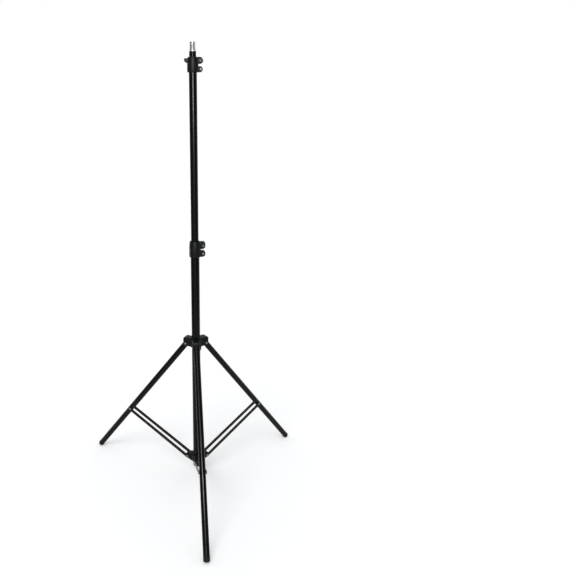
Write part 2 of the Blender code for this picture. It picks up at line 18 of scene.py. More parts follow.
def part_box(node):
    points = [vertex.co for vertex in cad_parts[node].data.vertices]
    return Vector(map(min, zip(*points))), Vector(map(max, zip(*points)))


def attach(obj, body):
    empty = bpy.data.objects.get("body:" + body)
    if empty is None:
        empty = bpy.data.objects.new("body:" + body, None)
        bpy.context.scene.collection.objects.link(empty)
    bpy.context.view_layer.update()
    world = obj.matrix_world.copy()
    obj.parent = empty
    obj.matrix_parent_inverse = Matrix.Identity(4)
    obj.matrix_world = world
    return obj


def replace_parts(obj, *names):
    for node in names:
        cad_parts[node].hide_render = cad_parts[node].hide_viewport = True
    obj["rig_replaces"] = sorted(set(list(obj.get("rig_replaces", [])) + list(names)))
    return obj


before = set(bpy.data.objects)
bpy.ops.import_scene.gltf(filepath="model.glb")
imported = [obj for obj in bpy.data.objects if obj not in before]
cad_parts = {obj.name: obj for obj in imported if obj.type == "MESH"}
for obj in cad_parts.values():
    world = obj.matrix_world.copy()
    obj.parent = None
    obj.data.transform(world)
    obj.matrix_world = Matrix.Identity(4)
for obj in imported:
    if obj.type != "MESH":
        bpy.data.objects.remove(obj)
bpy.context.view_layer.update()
MM = 0.001
low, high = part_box("base_tube")
MAST_Y = (low.y + high.y) / 2
print("the mast stands at y =", round(MAST_Y, 5))

# %% [markdown]
# The sizes below are the stand's own, in millimetres, as the CAD model has them. Two clamps share one
# shape, so their sizes are kept in a small table each. Angles are in degrees.

# %% Sizes of the mast
BASE_R, BASE_BORE_R = 13, 12
MID_R, MID_BORE_R, MID_LENGTH = 11, 10, 690
TOP_R, TOP_BORE_R, TOP_LENGTH = 9.5, 8.4, 680
MAST_BOTTOM, PLUG_RIM = 34, 2
BASE_CLAMP_Z, MID_CLAMP_Z = 741.5, 1264.5
TOP_STUB, SPIGOT_HEIGHT = 14, 25
GAP = 0.3
BASE_CLAMP = {
    "radius": 17.2, "height": 48, "step": 23,
    "ear_reach": 31, "ear_corner": 8.6, "ear_thickness": 6,
    "lower_ear": (0.8, 19.4), "upper_ear": (24.6, 46.6),
    "bolt_x": 24.5, "lower_bolt": 9.6, "upper_bolt": 35,
}
MID_CLAMP = {
    "radius": 15.5, "height": 40.5, "step": 19.5,
    "ear_reach": 27.2, "ear_corner": 7.6, "ear_thickness": 5.5,
    "lower_ear": (0.3, 16.2), "upper_ear": (22.2, 40.3),
    "bolt_x": 21.8, "lower_bolt": 8, "upper_bolt": 31.2,
}

# %% Sizes of the tripod
SIDES = {"front": -90, "right": 30, "left": 150}
PIVOT_RADIUS = 31.5
COLLAR_PIVOT_Z, HUB_PIVOT_Z = 461.9, 64
LEG_SPREAD = 37.8
LEG_LEAN = math.radians(LEG_SPREAD)
LEG_R, LEG_BORE_R, LEG_LENGTH = 9.2, 8.2, 580.7
LEG_TOP_END, LEG_RIVET_AT = 3.5, 355
FOOT_R, FOOT_HEAD, FOOT_CORNER = 9.3, 14, 5
RIVET_R, RIVET_HOLE_R, RIVET_HEAD_R = 2.4, 2.75, 3.4

# %% [markdown]
# The camera comes first, because every later choice is judged through it. The photograph was taken from
# a little above the middle of the stand, looking slightly down. The lens and the place were found by
# matching the mast, the legs and the feet. The stand fills the left part of the picture, so the lens is
# shifted sideways instead of turning the camera, which would make the mast lean.

# %% Camera
PICTURE = 576
FOCAL_PIXELS = 583.3155
CENTRE_X, CENTRE_Y = 193.6112, 256.0
azimuth, pitch, roll = math.radians(-3.2121), math.radians(15.1781), math.radians(-0.7097)
heading = azimuth + math.radians(0.1429)
distance, eye_height = 1672.6674, 1197.8537
eye = Vector((distance * math.sin(azimuth), -distance * math.cos(azimuth), eye_height)) * MM
eye.y += MAST_Y
forward = Vector(
    (-math.sin(heading) * math.cos(pitch), math.cos(heading) * math.cos(pitch), -math.sin(pitch))
)
side = forward.cross(Vector((0, 0, 1))).normalized()
up = side.cross(forward)
right = side * math.cos(roll) + up * math.sin(roll)
top = up * math.cos(roll) - side * math.sin(roll)
bpy.ops.object.camera_add()
camera = bpy.context.object
camera.matrix_world = Matrix.Translation(eye) @ Matrix((right, top, -forward)).transposed().to_4x4()
camera.data.sensor_width = 36
camera.data.lens = FOCAL_PIXELS / PICTURE * 36
camera.data.shift_x = (PICTURE / 2 - CENTRE_X) / PICTURE
camera.data.shift_y = (CENTRE_Y - PICTURE / 2) / PICTURE
camera.data.clip_end = 200
bpy.context.scene.camera = camera
bpy.context.scene.view_settings.view_transform = "Standard"
print("lens", round(camera.data.lens, 2), "mm, eye at", [round(c, 3) for c in camera.location])

# %% [markdown]
# The light is plain: a soft sun from the upper left gives form and one gentle shadow, and an even sky
# fills the rest. Black gloss shows only what it reflects, so panels on the camera's side draw the bright
# lines. The mast mirrors what is as high as itself and the leaning front leg mirrors what is higher, so
# each has its own group: a strong panel, and weak ones next to it that let the line fade out. The panels
# of a group don't overlap, because a mirrored ray stops at the first lamp that it meets. The spigot
# mirrors the gap between the two groups. One more panel, low down behind the stand, is for the back view.
# They are seen in reflections alone and add no other light.

# %% Lamps
SUN_STRENGTH = 0.9
SKY_STRENGTH = 0.64
sun_turn = (math.radians(38), 0, math.radians(-32))
bpy.ops.object.light_add(type="SUN", location=(-1.5, -1.5, 3), rotation=sun_turn)
sun = bpy.context.object
sun.name = "soft_sun"
sun.data.energy = SUN_STRENGTH
sun.data.angle = math.radians(30)


def panel(name, turn, spread, away, bottom, top, brightness):
    """A lamp that shows in reflections only: turn and width in degrees, then its distance and heights."""
    direction = azimuth + math.radians(turn)
    height, tall, wide = (bottom + top) / 2, top - bottom, away * math.radians(spread)
    spot = Vector((away * math.sin(direction), MAST_Y - away * math.cos(direction), height))
    facing = (Vector((0, MAST_Y, height)) - spot).to_track_quat("-Z", "Y").to_euler()
    bpy.ops.object.light_add(type="AREA", location=spot, rotation=facing)
    lamp = bpy.context.object
    lamp.name = name
    lamp.data.shape = "RECTANGLE"
    lamp.data.size, lamp.data.size_y = wide, tall
    lamp.data.energy = brightness * math.pi * wide * tall
    lamp.visible_diffuse = False
    lamp.visible_camera = False


panel("strong_mast_panel", -1, 20, 3, 1.05, 1.47, 47)
panel("weak_mast_panel", 4, 20, 3, 0.64, 1.04, 4.5)
panel("strong_leg_panel", -1, 20, 3, 2.2, 2.5, 78)
panel("lower_leg_panel", -1, 20, 3, 2.0, 2.19, 17)
panel("upper_leg_panel", -1, 20, 3, 2.51, 2.95, 17)
panel("back_panel", 228, 10, 1.75, 0.05, 0.75, 30)

# %% [markdown]
# The sky is brighter for the camera and in reflections than it is as a lamp. That keeps the background
# white without lighting the stand too strongly. The floor further down needs the same test.

# %% Sky
def looked_at(tree):
    """A node output that is 1 for what the camera, a mirror or glass looks at, and 0 for plain light."""
    path = tree.nodes.new("ShaderNodeLightPath")
    result = path.outputs["Is Camera Ray"]
    for kind in ("Is Glossy Ray", "Is Transmission Ray"):
        either = tree.nodes.new("ShaderNodeMath")
        either.operation = "MAXIMUM"
        tree.links.new(result, either.inputs[0])
        tree.links.new(path.outputs[kind], either.inputs[1])
        result = either.outputs[0]
    return result


world = bpy.data.worlds.new("pale_sky")
bpy.context.scene.world = world
world.use_nodes = True
sky = world.node_tree
sky.nodes.clear()
shown, lit = sky.nodes.new("ShaderNodeBackground"), sky.nodes.new("ShaderNodeBackground")
shown.inputs["Color"].default_value = (1, 1, 1, 1)
shown.inputs["Strength"].default_value = 1.0
lit.inputs["Color"].default_value = (0.97, 0.985, 1, 1)
lit.inputs["Strength"].default_value = SKY_STRENGTH
blend = sky.nodes.new("ShaderNodeMixShader")
output = sky.nodes.new("ShaderNodeOutputWorld")
sky.links.new(looked_at(sky), blend.inputs["Fac"])
sky.links.new(lit.outputs[0], blend.inputs[1])
sky.links.new(shown.outputs[0], blend.inputs[2])
sky.links.new(blend.outputs[0], output.inputs["Surface"])

# %% [markdown]
# Bright metal in an all-white room looks like white plastic, and black gloss looks grey. Photographers
# stand dark cards beside such things. Here three cards show in reflections only, and they take no light
# away. The two beside the stand draw the dark bands on the spigot. The left one and a third on the right
# reach far back, which keeps the tubes' edges from mirroring the white room behind them.

# %% Dark cards
CARD_X, CARD_HEIGHT = 1.1, 2.6


def card(name, x, near, far, shade):
    """A grey card square to the X axis, from near to far along Y, measured from the mast."""
    middle = (x, MAST_Y + (near + far) / 2, CARD_HEIGHT / 2)
    bpy.ops.mesh.primitive_plane_add(size=1, location=middle, rotation=(0, math.radians(90), 0))
    sheet = bpy.context.object
    sheet.name = name
    sheet.scale = (CARD_HEIGHT, far - near, 1)
    bpy.ops.object.transform_apply()
    look = bpy.data.materials.new(name + "_look")
    look.use_nodes = True
    shader = look.node_tree.nodes["Principled BSDF"]
    shader.inputs["Base Color"].default_value = (shade, shade, shade, 1)
    shader.inputs["Roughness"].default_value = 1
    shader.inputs["Specular IOR Level"].default_value = 0
    sheet.data.materials.append(look)
    sheet.visible_camera = sheet.visible_diffuse = sheet.visible_shadow = False


card("left_card", -CARD_X, -1.1, 4.0, 0.42)
card("right_card", CARD_X, -2.1, -0.27, 0.2)
card("far_right_card", CARD_X, 0.9, 4.0, 0.42)

# %% [markdown]
# The floor is one wide pale sheet. Under these lamps it comes out a little darker than the sky, which
# would show a hard horizon. So it glows by the missing share, but only towards the camera and in
# reflections: it lights nothing, and the stand's own soft shadow stays on it.

# %% Floor
FLOOR_COLOUR = 0.97
FLOOR_GLOW = 0.19
bpy.ops.mesh.primitive_plane_add(size=120, location=(0, 0, 0))
floor = bpy.context.object
floor.name = "floor"
bpy.ops.object.mode_set(mode="EDIT")
bpy.ops.mesh.subdivide(number_cuts=3)
bpy.ops.object.mode_set(mode="OBJECT")
paper = bpy.data.materials.new("pale_paper")
paper.use_nodes = True
paper_shader = paper.node_tree.nodes["Principled BSDF"]
paper_shader.inputs["Base Color"].default_value = (FLOOR_COLOUR, FLOOR_COLOUR, FLOOR_COLOUR, 1)
paper_shader.inputs["Roughness"].default_value = 0.9
paper_shader.inputs["Specular IOR Level"].default_value = 0.1
paper_glow = paper.node_tree.nodes.new("ShaderNodeMath")
paper_glow.operation = "MULTIPLY"
paper_glow.inputs[1].default_value = FLOOR_GLOW
paper.node_tree.links.new(looked_at(paper.node_tree), paper_glow.inputs[0])
paper.node_tree.links.new(paper_glow.outputs[0], paper_shader.inputs["Emission Strength"])
paper_shader.inputs["Emission Color"].default_value = (1, 1, 1, 1)
floor.data.materials.append(paper)

# %% [markdown]
# Finishes come next. Each one starts from the Principled shader with its constant sockets set directly,
# and then fine noise on Object coordinates changes the roughness, the colour and the bump, so that the
# grain keeps its real size on every piece. A real finish is never one flat value.

# %% A helper that starts a finish
LOOKS = {}


class Look:
    """A material in the making: its Principled shader, and shortcuts for the patterns that feed it."""

    def __init__(self, name, colour, roughness, metallic=0.0, specular=0.5):
        self.material = bpy.data.materials.new(name + "_look")
        self.material.use_nodes = True
        self.tree = self.material.node_tree
        self.shader = self.tree.nodes["Principled BSDF"]
        self.shader.inputs["Base Color"].default_value = (*colour, 1)
        self.shader.inputs["Roughness"].default_value = roughness
        self.shader.inputs["Metallic"].default_value = metallic
        self.shader.inputs["Specular IOR Level"].default_value = specular
        self.coordinates = self.tree.nodes.new("ShaderNodeTexCoord")
        LOOKS[name] = self.material

    def noise(self, scale, detail=3.0, stretch=(1, 1, 1)):
        """Noise of a real size: scale is in waves to the metre, and stretch draws it out along an axis."""
        mapping = self.tree.nodes.new("ShaderNodeMapping")
        mapping.inputs["Scale"].default_value = stretch
        texture = self.tree.nodes.new("ShaderNodeTexNoise")
        texture.inputs["Scale"].default_value = scale
        texture.inputs["Detail"].default_value = detail
        self.tree.links.new(self.coordinates.outputs["Object"], mapping.inputs["Vector"])
        self.tree.links.new(mapping.outputs["Vector"], texture.inputs["Vector"])
        return texture.outputs["Fac"]

    def between(self, pattern, low, high, start=0.3, end=0.7):
        """Maps a pattern onto a range of values."""
        node = self.tree.nodes.new("ShaderNodeMapRange")
        for socket, value in zip(("From Min", "From Max", "To Min", "To Max"), (start, end, low, high)):
            node.inputs[socket].default_value = value
        self.tree.links.new(pattern, node.inputs["Value"])
        return node.outputs["Result"]

    def roughness(self, pattern, low, high, **reach):
        """Lets a pattern vary the roughness between two values."""
        self.tree.links.new(self.between(pattern, low, high, **reach), self.shader.inputs["Roughness"])

    def colours(self, pattern, dark, light, start=0.35, end=0.65):
        """Two shades of the colour, mixed by a pattern."""
        ramp = self.tree.nodes.new("ShaderNodeValToRGB")
        ramp.color_ramp.elements[0].position, ramp.color_ramp.elements[1].position = start, end
        ramp.color_ramp.elements[0].color, ramp.color_ramp.elements[1].color = (*dark, 1), (*light, 1)
        self.tree.links.new(pattern, ramp.inputs["Fac"])
        self.tree.links.new(ramp.outputs["Color"], self.shader.inputs["Base Color"])

    def bump(self, pattern, height_mm, strength=1.0):
        """Small relief of a real height."""
        node = self.tree.nodes.new("ShaderNodeBump")
        node.inputs["Distance"].default_value = height_mm * MM
        node.inputs["Strength"].default_value = strength
        self.tree.links.new(pattern, node.inputs["Height"])
        self.tree.links.new(node.outputs["Normal"], self.shader.inputs["Normal"])


# %% [markdown]
# Black enamel covers the mast tubes and the legs. Stoved enamel is smooth and glossy, with a faint
# orange-peel ripple, and tubes that slide in each other get fine rings from rubbing.

# %% Black enamel and black strip
enamel = Look("black_enamel", (0.003, 0.003, 0.0034), 0.16, specular=0.1)
enamel.colours(enamel.noise(14), (0.0024, 0.0025, 0.0028), (0.0038, 0.0039, 0.0044))
enamel.roughness(enamel.noise(60, 4, (3, 3, 0.3)), 0.14, 0.19)
enamel.bump(enamel.noise(620, 2), 0.005, 0.5)

strip_look = Look("black_strip", (0.004, 0.004, 0.0046), 0.3, specular=0.16)
strip_look.colours(strip_look.noise(30), (0.0030, 0.0031, 0.0035), (0.0058, 0.0060, 0.0066))
strip_look.roughness(strip_look.noise(160, 4), 0.24, 0.4)
strip_look.bump(strip_look.noise(900, 2), 0.02, 0.5)

# %% [markdown]
# The clamps, levers, collar, hub and plugs are moulded in charcoal plastic. The mould leaves a fine
# sparked grain, which spreads the highlight into a soft grey band.

# %% Charcoal moulding
moulding = Look("charcoal_moulding", (0.0055, 0.0062, 0.0069), 0.42, specular=0.1)
moulding.colours(moulding.noise(55), (0.0044, 0.0051, 0.0058), (0.0070, 0.0079, 0.0088))
moulding.roughness(moulding.noise(260, 4), 0.36, 0.47)
moulding.bump(moulding.noise(1900, 2), 0.03, 0.6)

# %% [markdown]
# The feet are matt rubber, with a slightly uneven skin and a dusty bloom.

# %% Rubber
rubber = Look("black_rubber", (0.007, 0.007, 0.007), 0.8, specular=0.16)
rubber.colours(rubber.noise(70), (0.0052, 0.0052, 0.0054), (0.0096, 0.0095, 0.0093))
rubber.roughness(rubber.noise(420, 4), 0.7, 0.92)
rubber.bump(rubber.noise(1500, 3), 0.05, 0.6)

# %% [markdown]
# The spigot is turned steel. A lathe leaves fine rings round it, so its noise is squeezed along Z. Rivets,
# cross-head screws and the nuts behind them are grey steel, scuffed by the tools that set them. The bolts
# of the levers and the knob, and the front nuts, are duller still, with a soft cloudiness.

# %% Bright steel and rivet steel
steel = Look("bright_steel", (0.6, 0.6, 0.62), 0.14, metallic=1.0)
steel.colours(steel.noise(60), (0.56, 0.56, 0.58), (0.65, 0.65, 0.665))
steel.roughness(steel.noise(1, 3, (30, 30, 2600)), 0.075, 0.105)
steel.bump(steel.noise(1, 2, (20, 20, 2600)), 0.0006, 0.5)

rivet_look = Look("rivet_steel", (0.17, 0.17, 0.178), 0.52, metallic=1.0)
rivet_look.colours(rivet_look.noise(400), (0.135, 0.135, 0.142), (0.21, 0.21, 0.218))
rivet_look.roughness(rivet_look.noise(900, 4), 0.46, 0.6)
rivet_look.bump(rivet_look.noise(1800, 2), 0.015, 0.5)

# %% Dull steel, nylon and brass
dull = Look("dull_steel", (0.13, 0.13, 0.14), 0.8, metallic=1.0)
dull.colours(dull.noise(300), (0.105, 0.105, 0.112), (0.155, 0.155, 0.163))
dull.roughness(dull.noise(700, 4), 0.74, 0.86)
dull.bump(dull.noise(1600, 2), 0.015, 0.5)

nylon = Look("grey_nylon", (0.28, 0.28, 0.3), 0.5)
nylon.colours(nylon.noise(90), (0.25, 0.25, 0.27), (0.31, 0.31, 0.33))
nylon.roughness(nylon.noise(500), 0.42, 0.58)
nylon.bump(nylon.noise(1700, 2), 0.02, 0.5)

brass = Look("brass", (0.62, 0.43, 0.16), 0.32, metallic=1.0)
brass.colours(brass.noise(200), (0.55, 0.37, 0.13), (0.68, 0.49, 0.2))
brass.roughness(brass.noise(600), 0.26, 0.42)
brass.bump(brass.noise(1, 2, (30, 1500, 30)), 0.01, 0.5)
print("finishes:", ", ".join(LOOKS))

# %% [markdown]
# Modelling starts here. Blender's tools work on whatever is selected, and a new primitive is selected all
# over, so two small helpers keep that in hand: one makes a piece the only selected one, and one opens it
# in edit mode with nothing selected.

# %% Helpers for selecting
def hold(piece):
    """Makes one piece the active object and the only selected one."""
    bpy.ops.object.select_all(action="DESELECT")
    piece.select_set(True)
    bpy.context.view_layer.objects.active = piece


@contextlib.contextmanager
def editing(piece):
    """Opens a piece in edit mode with nothing selected, and closes it again."""
    hold(piece)
    bpy.ops.object.mode_set(mode="EDIT")
    bpy.ops.mesh.select_mode(type="VERT")
    bpy.ops.mesh.select_all(action="DESELECT")
    yield
    bpy.ops.object.mode_set(mode="OBJECT")


def pick(piece, kind, test):
    """Selects just the faces or edges that pass a test on their corner points, in millimetres."""
    bpy.ops.mesh.select_mode(type=kind)
    bpy.ops.mesh.select_all(action="DESELECT")
    mesh = bmesh.from_edit_mesh(piece.data)
    for item in mesh.faces if kind == "FACE" else mesh.edges:
        if test([corner.co / MM for corner in item.verts]):
            item.select_set(True)
    bmesh.update_edit_mesh(piece.data)


# %% [markdown]
# Most of the stand is round. A round piece grows from a circle as on a lathe: the ring is extruded up and
# scaled to the next radius, again and again. A profile that comes back to its start makes a tube, and any
# other gets flat ends.

# %% Turned pieces
def turned(name, profile, sides=64):
    """Extrudes a circle ring by ring through (radius, height) points, in millimetres, along Z."""
    radius, height = profile[0]
    bpy.ops.object.select_all(action="DESELECT")
    bpy.ops.mesh.primitive_circle_add(vertices=sides, radius=radius * MM, location=(0, 0, height * MM))
    piece = bpy.context.object
    piece.name = name
    bpy.ops.object.transform_apply()
    with editing(piece):
        bpy.ops.mesh.select_mode(type="EDGE")
        bpy.ops.mesh.select_all(action="SELECT")
        for next_radius, next_height in profile[1:]:
            rise = (0, 0, (next_height - height) * MM)
            growth = next_radius / radius
            bpy.ops.mesh.extrude_region_move(TRANSFORM_OT_translate={"value": rise})
            bpy.ops.transform.resize(value=(growth, growth, 1), center_override=(0, 0, next_height * MM))
            radius, height = next_radius, next_height
        bpy.ops.mesh.select_all(action="SELECT")
        if profile[0] == profile[-1]:
            bpy.ops.mesh.remove_doubles(threshold=1e-6)
        else:
            bpy.ops.mesh.fill_holes(sides=0)
        bpy.ops.mesh.select_all(action="SELECT")
        bpy.ops.mesh.normals_make_consistent(inside=False)
    return piece


def arc(centre, radius, start, end, steps=6):
    """Points along an arc, from one angle in degrees to another."""
    angles = [math.radians(start + (end - start) * i / steps) for i in range(steps + 1)]
    return [(centre[0] + radius * math.cos(a), centre[1] + radius * math.sin(a)) for a in angles]


# Turns a piece that was made along Z so that it lies along Y, as a bolt does
ACROSS = Matrix.Rotation(math.radians(-90), 4, "X")


def at(x=0.0, y=0.0, z=0.0):
    """A place, in millimetres."""
    return Matrix.Translation(Vector((x, y, z)) * MM)


def about_z(degrees):
    """A turn about the Z axis."""
    return Matrix.Rotation(math.radians(degrees), 4, "Z")


def moved(piece, place):
    """Moves a piece and writes the move into its mesh."""
    hold(piece)
    piece.matrix_world = place @ piece.matrix_world
    bpy.ops.object.transform_apply(location=True, rotation=True, scale=True)
    return piece


# %% [markdown]
# Moulded parts and strips start as flat outlines. A filled circle gets one corner for each point of the
# outline, each corner is pushed to its place, and the face is extruded to the plate's thickness. Plates
# and round pieces are then joined or cut with Booleans, and a bevel rounds every edge that is left.

# %% Plates, Booleans and soft edges
def plate(name, outline, low, high):
    """A plate with an outline in the XZ plane, from low to high along Y, in millimetres."""
    bpy.ops.object.select_all(action="DESELECT")
    bpy.ops.mesh.primitive_circle_add(
        vertices=len(outline), radius=20 * MM, fill_type="NGON", rotation=(math.radians(90), 0, 0)
    )
    piece = bpy.context.object
    piece.name = name
    bpy.ops.object.transform_apply()
    with editing(piece):
        for number, (x, z) in enumerate(outline):
            bpy.ops.mesh.select_all(action="DESELECT")
            mesh = bmesh.from_edit_mesh(piece.data)
            mesh.verts.ensure_lookup_table()
            corner = mesh.verts[number]
            corner.select_set(True)
            step = Vector((x, low, z)) * MM - corner.co
            bmesh.update_edit_mesh(piece.data)
            bpy.ops.transform.translate(value=step)
        bpy.ops.mesh.select_all(action="SELECT")
        bpy.ops.mesh.extrude_region_move(TRANSFORM_OT_translate={"value": (0, (high - low) * MM, 0)})
        bpy.ops.mesh.select_all(action="SELECT")
        bpy.ops.mesh.normals_make_consistent(inside=False)
    return piece


def combine(piece, tool, operation):
    """Joins a helper to a piece, cuts it away or keeps the part in both, and removes the helper."""
    step = piece.modifiers.new("shape", "BOOLEAN")
    step.operation = operation
    step.solver = "EXACT"
    step.object = tool
    hold(piece)
    bpy.ops.object.modifier_apply(modifier=step.name)
    bpy.data.objects.remove(tool)


def rivet_hole(piece, place, reach=20):
    """Drills a rivet's hole through a piece, along Y at a place."""
    drill = turned("drill", [(RIVET_HOLE_R, -reach), (RIVET_HOLE_R, reach)], 32)
    combine(piece, moved(drill, place @ ACROSS), "DIFFERENCE")


def soften(piece, width, segments=2, angle=30):
    """Rounds the sharp edges of a piece."""
    with editing(piece):
        bpy.ops.mesh.select_all(action="SELECT")
        bpy.ops.mesh.remove_doubles(threshold=2e-5)
        bpy.ops.mesh.dissolve_limited(angle_limit=math.radians(0.5))
    step = piece.modifiers.new("soft edges", "BEVEL")
    step.width = width * MM
    step.segments = segments
    step.limit_method = "ANGLE"
    step.angle_limit = math.radians(angle)
    step.miter_outer = "MITER_ARC"
    hold(piece)
    bpy.ops.object.modifier_apply(modifier=step.name)


def copied(piece, name):
    """A copy of a piece with its own mesh."""
    hold(piece)
    bpy.ops.object.duplicate()
    double = bpy.context.object
    double.name = name
    return double


# %% [markdown]
# A finished piece is shaded smooth except at its edges, gets its finish, and is handed to the body that
# it moves with. It takes the place of the CAD node of the same name, which stays hidden for collisions.

# %% Handing over
SHARP_ANGLE = 32
finished = []


def finish_piece(piece, node, body, look, place=Matrix.Identity(4)):
    """Puts a piece in place, dresses it and lets it stand for a CAD node."""
    moved(piece, place)
    with editing(piece):
        bpy.ops.mesh.select_all(action="SELECT")
        bpy.ops.mesh.remove_doubles(threshold=2e-6)
        bpy.ops.mesh.dissolve_degenerate(threshold=5e-6)
    piece.name = node + "_finished"
    piece.data.materials.clear()
    piece.data.materials.append(LOOKS[look])
    hold(piece)
    bpy.ops.object.shade_smooth_by_angle(angle=math.radians(SHARP_ANGLE))
    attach(piece, body)
    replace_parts(piece, node)
    finished.append(piece)
    return piece


MAST = Matrix.Translation((0, MAST_Y, 0))

# %% [markdown]
# The mast has three plain tubes. A cut tube has a tiny chamfer at each rim, which is what catches the
# light at its end, so the profile has one outside and one inside.

# %% Tubes
def tube(name, outer, inner, low, high, sides=64):
    """A tube with both rims broken."""
    edge = 0.25
    profile = [
        (inner, low + edge), (inner + edge, low), (outer - edge, low), (outer, low + edge),
        (outer, high - edge), (outer - edge, high), (inner + edge, high), (inner, high - edge),
        (inner, low + edge),
    ]
    return turned(name, profile, sides)


base_low = MAST_BOTTOM + PLUG_RIM + GAP
base_high = BASE_CLAMP_Z + BASE_CLAMP["step"] - GAP
base_tube = tube("base", BASE_R, BASE_BORE_R, base_low, base_high)
finish_piece(base_tube, "base_tube", "base", "black_enamel", MAST)
mid_high = MID_CLAMP_Z + MID_CLAMP["step"] - GAP
mid_tube = tube("mid", MID_R, MID_BORE_R, mid_high - MID_LENGTH, mid_high)
finish_piece(mid_tube, "mid_tube", "mid", "black_enamel", MAST)
top_high = MID_CLAMP_Z + MID_CLAMP["height"] + TOP_STUB
top_tube = tube("top", TOP_R, TOP_BORE_R, top_high - TOP_LENGTH, top_high)
finish_piece(top_tube, "top_tube", "top", "black_enamel", MAST)

# %% [markdown]
# A plastic plug closes the foot of the mast. It has a rounded rim and a shallow dish underneath.

# %% End plug
stem = BASE_BORE_R - GAP
plug_rim_top = MAST_BOTTOM + PLUG_RIM
plug_top = plug_rim_top + 17
plug_profile = [
    (4.5, MAST_BOTTOM + 0.9), (8.5, MAST_BOTTOM + 0.9), (9.4, MAST_BOTTOM + 0.3), (10.2, MAST_BOTTOM),
    *arc((BASE_R - 1, MAST_BOTTOM + 1), 1, -90, 0, 4), (BASE_R, plug_rim_top), (stem, plug_rim_top),
    (stem, plug_top - 1), (stem - 1, plug_top), (4.5, plug_top),
]
finish_piece(turned("plug", plug_profile), "base_end_plug", "base", "charcoal_moulding", MAST)

# %% [markdown]
# The spigot is the bright stud that a lamp is clamped to. It sits on the top tube's rim with a thin
# flange, narrows slightly to a waist and ends in a flared lip. Its free end has a chamfered tapped hole.

# %% Spigot
rim = top_high + GAP
tip = top_high + SPIGOT_HEIGHT
flange_r = TOP_R + 0.7
stem = TOP_BORE_R - GAP
spigot_profile = [
    (4, top_high - 24), (stem - 0.8, top_high - 24), (stem, top_high - 23.2),
    (stem, rim), (flange_r - 0.25, rim), (flange_r, rim + 0.25), (flange_r, rim + 0.75),
    (flange_r - 0.25, rim + 1), (8.4, rim + 1.05), (8.15, rim + 1.3), (8.05, rim + 1.8), (7.95, rim + 5),
    (7.75, rim + 10), (7.55, rim + 14), (7.4, tip - 6), (7.35, tip - 5), (7.35, tip - 4), (7.4, tip - 3.1),
    (7.6, tip - 2.2), (7.85, tip - 1.5), (8.05, tip - 1.15), (8.1, tip - 0.9), (8.1, tip - 0.45),
    (7.95, tip - 0.12), (7.7, tip), (3.6, tip), (3.1, tip - 0.5),
]
HOLE_PITCH = 1.27
for turn_number in range(5):
    groove = tip - 1 - turn_number * HOLE_PITCH
    spigot_profile += [(3.1, groove), (2.7, groove - 0.35), (2.7, groove - 0.65), (3.1, groove - 1.0)]
spigot_profile += [(3.1, tip - 9), (0.6, tip - 10.4)]
spigot = turned("spigot_stud", spigot_profile, 72)
finish_piece(spigot, "spigot", "top", "bright_steel", MAST)

# %% [markdown]
# Screws, nuts and bolts come before the clamps that they hold. A hexagon nut is a six-sided bar whose
# corners are turned off by a cone, so it is the part shared by a bar and a squat double cone. Threads are
# shown as fine rings, which look the same at this size as a real spiral.

# %% Nuts, bolts and screws
def thread(radius, low, high, pitch=0.8):
    """Rings along a bolt, from low to high."""
    count = int((high - low) / pitch)
    rings = []
    for number in range(count):
        z = low + (high - low) * number / count
        rings += [(radius, z + pitch * 0.2), (radius - 0.35, z + pitch * 0.6)]
    return rings


def nut(name, corner_r, thickness):
    """A hexagon nut with turned corners and a chamfered bore, standing on z = 0."""
    bar = turned(name, [(corner_r, 0), (corner_r, thickness)], 6)
    cone = [
        (corner_r * 0.86, -0.01), (corner_r * 1.05, thickness * 0.17), (corner_r * 1.05, thickness * 0.83),
        (corner_r * 0.86, thickness + 0.01),
    ]
    combine(bar, turned("cone", cone, 48), "INTERSECT")
    bore = [(3.3, -0.2), (2.85, 0.35), (2.85, thickness - 0.35), (3.3, thickness + 0.2)]
    combine(bar, turned("bore", bore, 32), "DIFFERENCE")
    return bar


def cross_screw(name, seat, end):
    """A pan-head screw along Z: its head lies below seat and its shank runs up to end."""
    shank_r, thread_length = 2.3, 7
    profile = [
        (0.9, seat - 2.6), (2.2, seat - 2.5), (3.1, seat - 2.1), (3.7, seat - 1.4), (3.9, seat - 0.7),
        (3.9, seat - 0.15), (3.75, seat), (shank_r, seat), (shank_r, end - thread_length),
        *thread(shank_r, end - thread_length, end - 0.6), (2.0, end - 0.4), (1.5, end),
    ]
    screw = turned(name, profile, 40)
    # Two crossed slots and a pointed middle make the recess
    slot = [(-2.2, seat - 3), (2.2, seat - 3), (1.2, seat - 1.1), (-1.2, seat - 1.1)]
    for degrees in (45, 135):
        combine(screw, moved(plate("slot", slot, -0.45, 0.45), about_z(degrees)), "DIFFERENCE")
    point = [(1.25, seat - 3), (1.1, seat - 2.3), (0.85, seat - 1.05), (0.2, seat - 0.45)]
    combine(screw, turned("point", point, 24), "DIFFERENCE")
    return screw


# %% [markdown]
# A riser clamp is one moulding. Its barrel is straight below and tapers above, its lower half is fixed
# on the wider tube, and its upper half is split so that the lever can squeeze it onto the inner tube.
# Two pairs of ears carry the bolts. Their front faces lean back towards the tip, as a mould needs, which
# keeps the light off them. It is built like that: barrel, ears, then holes, bore and slit.

# %% Clamps
EAR_DRAFT = math.radians(8)
SLIT_HALF, SINK_DEPTH = 1, 2.6
FRONT_NUT_R, FRONT_NUT_HEIGHT = 4.6, 3.2
BACK_NUT_R, BACK_NUT_HEIGHT = 4.4, 3
SCREW_TAIL = 4.6


def ear_face(sizes):
    """How far an ear's outer face stands from the middle of the slit."""
    return SLIT_HALF + sizes["ear_thickness"]


